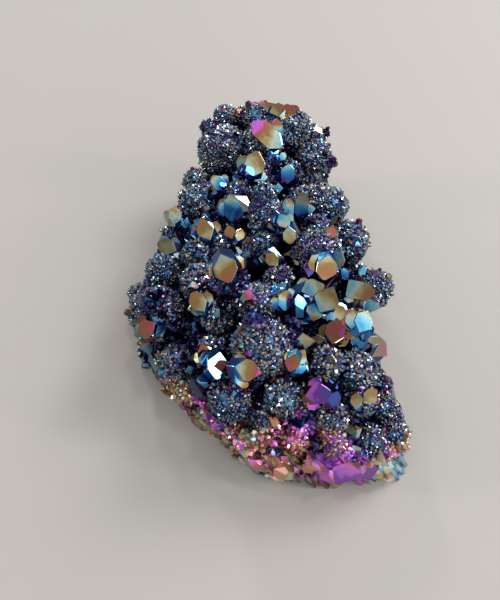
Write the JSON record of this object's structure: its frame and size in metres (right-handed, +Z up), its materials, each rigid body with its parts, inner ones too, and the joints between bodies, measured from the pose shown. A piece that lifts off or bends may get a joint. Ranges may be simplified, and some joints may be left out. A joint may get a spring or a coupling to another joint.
{
  "type": "aura druzy cluster",
  "caption": "Palm-sized druzy quartz cluster with a rainbow metallic film: sparkling rounded knobs, flat-faced points between them, a broken crystalline edge and a flat-cut underside.",
  "frame": {"origin": "on the flat-cut underside, under the middle of the cluster's length and width", "axes": "+Z up, away from the cut underside; +Y along the length towards the narrow end; -Y towards the wide end with the broken edge"},
  "size_m": [0.0666, 0.1042, 0.0343],
  "materials": {
    "aura_film": "quartz under a thin iridescent metallic film, mostly blue and violet, with gold, teal and magenta faces"
  },
  "bodies": {
    "root": {"druzy_cluster": "aura_film"}
  },
  "joints": []
}
